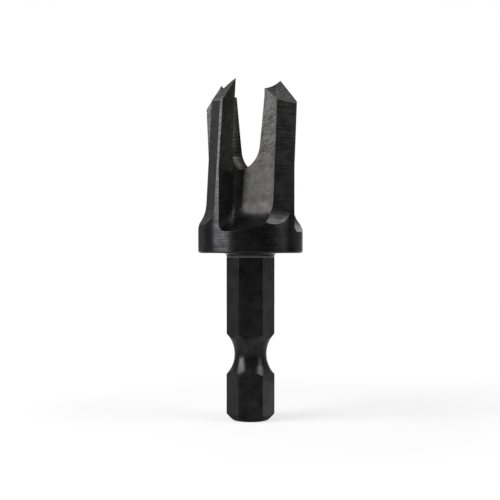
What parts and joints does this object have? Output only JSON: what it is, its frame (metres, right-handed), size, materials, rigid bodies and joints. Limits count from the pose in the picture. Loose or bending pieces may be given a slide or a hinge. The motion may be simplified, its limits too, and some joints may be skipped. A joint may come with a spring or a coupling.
{
  "type": "tapered plug cutter",
  "caption": "Tapered plug cutter with a hex quick-change shank, a round collar and bevelled jaws around a tapered bore, for cutting tapered wood plugs in a drill.",
  "frame": {"origin": "centre of the flat end of the hex shank, on which the cutter stands", "axes": "+Z along the cutter's axis, from the shank toward the cutting tips; +Y square to one flat of the hex shank"},
  "size_m": [0.016, 0.016, 0.0514],
  "materials": {
    "black_oxide_steel": "black oxide, satin"
  },
  "bodies": {
    "root": {"cutter_body": "black_oxide_steel"}
  },
  "joints": []
}
